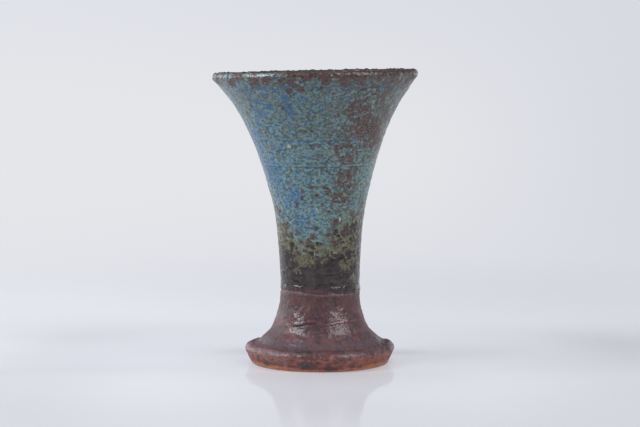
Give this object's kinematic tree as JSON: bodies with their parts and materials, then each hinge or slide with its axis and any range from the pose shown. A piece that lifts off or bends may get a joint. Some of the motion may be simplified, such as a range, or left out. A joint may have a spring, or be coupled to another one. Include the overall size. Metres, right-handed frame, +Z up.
{
  "type": "stoneware vase",
  "caption": "Hand-thrown stoneware vase: a trumpet flaring to a rounded lip, luted to a flared foot with a flange, with mottled turquoise glaze running down over a dark glaze.",
  "frame": {"origin": "middle of the flat base, on the surface that the vase stands on", "axes": "+Z up along the axis of the foot, -Y towards the front, +X to the right seen from the front"},
  "size_m": [0.1116, 0.1116, 0.1611],
  "materials": {
    "stoneware": "bare fired clay, matt, rust orange",
    "slip": "fired slip, matt",
    "iron_wash": "thin iron wash, plum brown, semi-gloss",
    "dark_glaze": "iron glaze, charcoal brown, satin",
    "turquoise_glaze": "mottled turquoise and brown glaze, satin",
    "liner_glaze": "turquoise glaze, satin"
  },
  "bodies": {
    "root": {"trumpet_body": "stoneware", "flared_foot": "stoneware", "luting_slip": "slip", "foot_wash": "iron_wash", "base_glaze": "dark_glaze", "top_glaze": "turquoise_glaze", "liner_glaze": "liner_glaze"}
  },
  "joints": []
}
